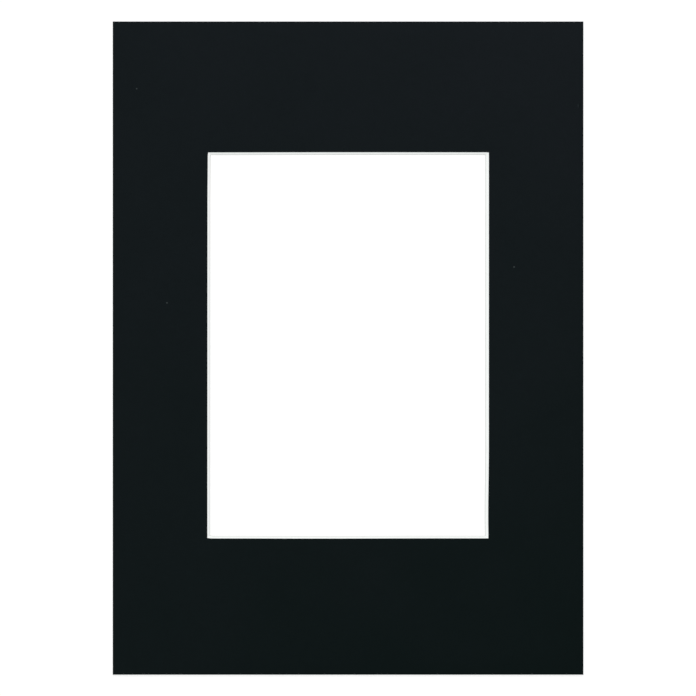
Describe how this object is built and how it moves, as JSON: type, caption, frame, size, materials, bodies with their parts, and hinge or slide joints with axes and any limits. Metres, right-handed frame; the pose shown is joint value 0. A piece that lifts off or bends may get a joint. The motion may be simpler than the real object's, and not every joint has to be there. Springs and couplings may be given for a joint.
{
  "type": "picture mount",
  "caption": "Flat picture mount with a matt black face on a white core and a bevel-cut rectangular window, to go between a picture and the glass of a frame.",
  "frame": {"origin": "middle of the board's back, which it lies on", "axes": "+Z out of the face, +Y towards the top edge, +X to the right as the face is looked at"},
  "size_m": [0.2, 0.2776, 0.0014],
  "materials": {
    "core_board": "matte",
    "face_paper": "matte"
  },
  "bodies": {
    "root": {"core_board": "core_board", "face_paper": "face_paper"}
  },
  "joints": []
}
